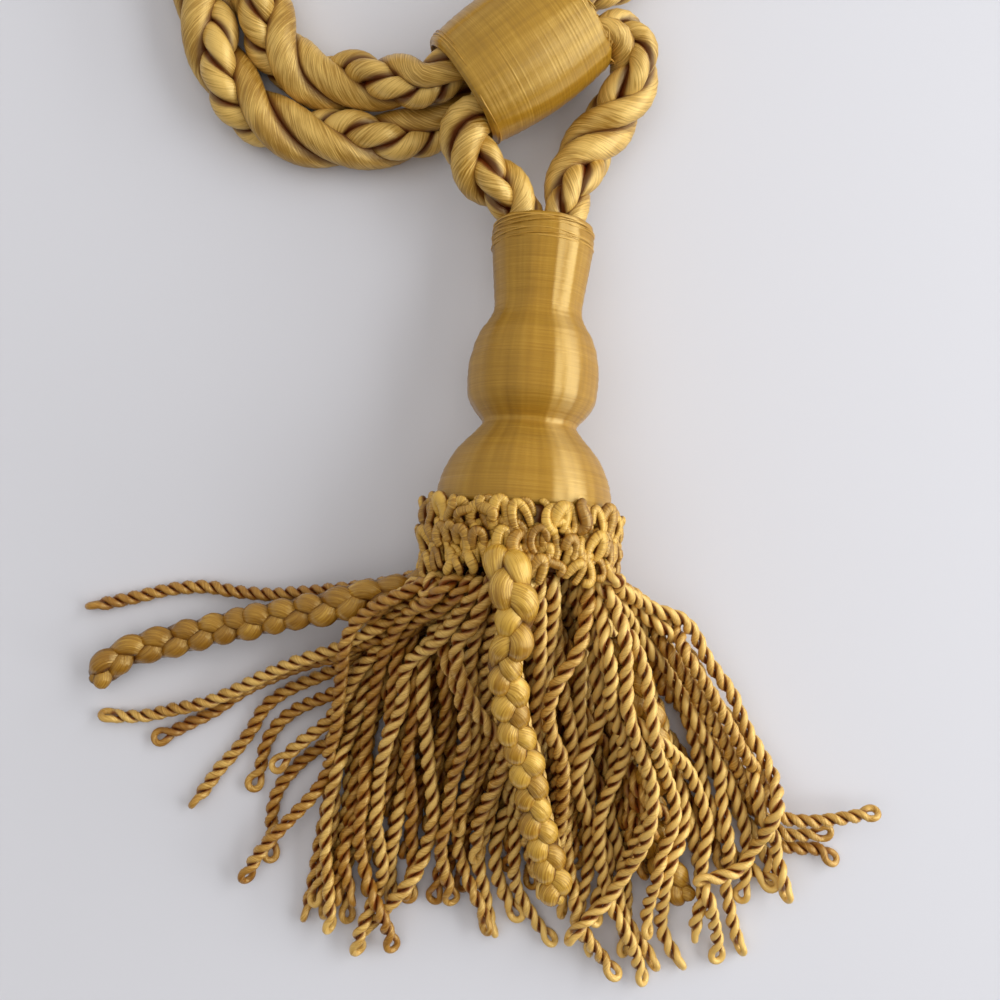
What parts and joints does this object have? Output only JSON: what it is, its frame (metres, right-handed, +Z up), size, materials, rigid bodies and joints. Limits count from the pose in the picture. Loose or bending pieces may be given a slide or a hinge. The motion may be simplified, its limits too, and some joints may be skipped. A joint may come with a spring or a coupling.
{
  "type": "curtain tieback tassel",
  "caption": "Curtain tieback lying flat: a thread-wound turned head with a crimped ruff and a skirt of twisted bullion cords, on a rope embrace gathered by a barrel slide",
  "frame": {"origin": "On the table top, under the middle of the ruff, where the tassel rests", "axes": "+Z up from the table, +Y from the skirt towards the slide, +X to the right seen from above; the tassel lies on its side"},
  "size_m": [0.2004, 0.3903, 0.0529],
  "materials": {
    "wound_satin": "satin viscose thread wound close over a turned mould",
    "ruff_gimp": "crimped satin gimp loops",
    "rope_satin": "soft satin viscose rope",
    "bullion_yarn": "twisted viscose yarn",
    "floss_yarn": "plaited silky floss"
  },
  "bodies": {
    "root": {"tassel_head": "wound_satin", "ruff": "ruff_gimp", "slide": "wound_satin", "skirt": "bullion_yarn", "embrace_inner": "rope_satin", "embrace_outer": "rope_satin", "hanging_ring": "rope_satin", "floss_drop_front": "floss_yarn", "floss_drop_left": "floss_yarn", "floss_drop_right": "floss_yarn", "bullion_left_1": "bullion_yarn", "bullion_left_2": "bullion_yarn", "bullion_left_3": "bullion_yarn", "bullion_left_4": "bullion_yarn", "bullion_left_5": "bullion_yarn", "bullion_left_6": "bullion_yarn", "bullion_left_7": "bullion_yarn", "bullion_left_8": "bullion_yarn", "bullion_right_1": "bullion_yarn", "bullion_right_2": "bullion_yarn", "bullion_right_3": "bullion_yarn"}
  },
  "joints": []
}
